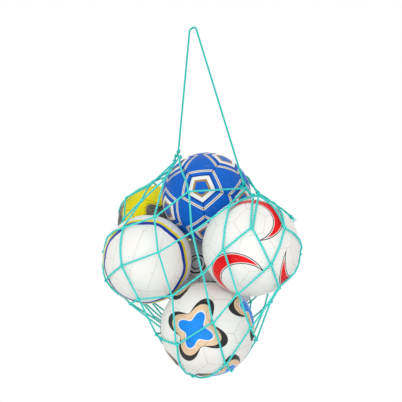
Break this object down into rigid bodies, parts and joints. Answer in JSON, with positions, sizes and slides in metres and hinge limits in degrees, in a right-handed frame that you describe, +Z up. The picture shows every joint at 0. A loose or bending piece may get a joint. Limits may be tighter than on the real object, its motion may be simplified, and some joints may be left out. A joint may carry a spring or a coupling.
{
  "type": "mesh ball bag",
  "caption": "Knotted net bag filled with sports balls, hanging from the bight of its draw cord, which ties to the mouth of the net at two eyes.",
  "frame": {"origin": "on the underside of the draw cord's bight, where a hook carries the bag", "axes": "+Z up along the hanging line, +X to the right and -Y towards the viewer of the bag's front"},
  "size_m": [0.47, 0.522, 0.837],
  "materials": {
    "draw_cord": "twisted polyethylene cord",
    "net_twine": "twisted polyethylene twine",
    "upper_ball_cover": "blue printed synthetic leather",
    "right_ball_cover": "white printed synthetic leather",
    "left_ball_cover": "soft white synthetic leather with coloured bands",
    "lower_ball_cover": "white printed synthetic leather",
    "middle_ball_cover": "grey printed synthetic leather",
    "rear_ball_cover": "yellow printed synthetic leather",
    "bladder": "matt butyl rubber",
    "valve": "matt rubber"
  },
  "bodies": {
    "carry_cord": {"draw_cord_handle": "draw_cord", "left_tie_eye": "draw_cord", "right_tie_eye": "draw_cord"},
    "net_bag": {"mouth_cord": "draw_cord", "cord_tail": "draw_cord", "tail_knot": "draw_cord", "gather_ring": "draw_cord", "net_course_1": "net_twine", "net_course_2": "net_twine", "net_course_3": "net_twine", "net_course_4": "net_twine", "net_course_5": "net_twine", "net_course_6": "net_twine", "net_course_7": "net_twine", "net_course_8": "net_twine", "mouth_knots": "net_twine", "net_knots_1": "net_twine", "net_knots_2": "net_twine", "net_knots_3": "net_twine", "net_knots_4": "net_twine", "net_knots_5": "net_twine", "net_knots_6": "net_twine", "net_knots_7": "net_twine"},
    "upper_ball": {"upper_ball_cover": "upper_ball_cover", "upper_ball_bladder": "bladder", "upper_ball_valve": "valve"},
    "right_ball": {"right_ball_cover": "right_ball_cover", "right_ball_bladder": "bladder", "right_ball_valve": "valve"},
    "left_ball": {"left_ball_cover": "left_ball_cover", "left_ball_bladder": "bladder", "left_ball_valve": "valve"},
    "lower_ball": {"lower_ball_cover": "lower_ball_cover", "lower_ball_bladder": "bladder", "lower_ball_valve": "valve"},
    "middle_ball": {"middle_ball_cover": "middle_ball_cover", "middle_ball_bladder": "bladder", "middle_ball_valve": "valve"},
    "rear_ball": {"rear_ball_cover": "rear_ball_cover", "rear_ball_bladder": "bladder", "rear_ball_valve": "valve"}
  },
  "joints": [
    {"name": "bag_tilt", "type": "hinge", "parent": "carry_cord", "child": "net_bag", "pos_m": [-0.04113, 0.02454, -0.30982], "axis": [0.786, -0.4702, -0.4015], "range_deg": [-15, 15]},
    {"name": "upper_ball_turn", "type": "hinge", "parent": "net_bag", "child": "upper_ball", "pos_m": [0.032, 0.01101, -0.414], "axis": [0, 0, 1], "continuous": true},
    {"name": "right_ball_turn", "type": "hinge", "parent": "net_bag", "child": "right_ball", "pos_m": [0.13099, -0.14956, -0.52838], "axis": [0, 0, 1], "continuous": true},
    {"name": "left_ball_turn", "type": "hinge", "parent": "net_bag", "child": "left_ball", "pos_m": [-0.10885, -0.05941, -0.56125], "axis": [0, 0, 1], "continuous": true},
    {"name": "lower_ball_turn", "type": "hinge", "parent": "net_bag", "child": "lower_ball", "pos_m": [0.03321, -0.09702, -0.71902], "axis": [0, 0, 1], "continuous": true},
    {"name": "middle_ball_turn", "type": "hinge", "parent": "net_bag", "child": "middle_ball", "pos_m": [0.04862, 0.09756, -0.61623], "axis": [0, 0, 1], "continuous": true},
    {"name": "rear_ball_turn", "type": "hinge", "parent": "net_bag", "child": "rear_ball", "pos_m": [-0.10186, 0.15862, -0.48214], "axis": [0, 0, 1], "continuous": true}
  ]
}
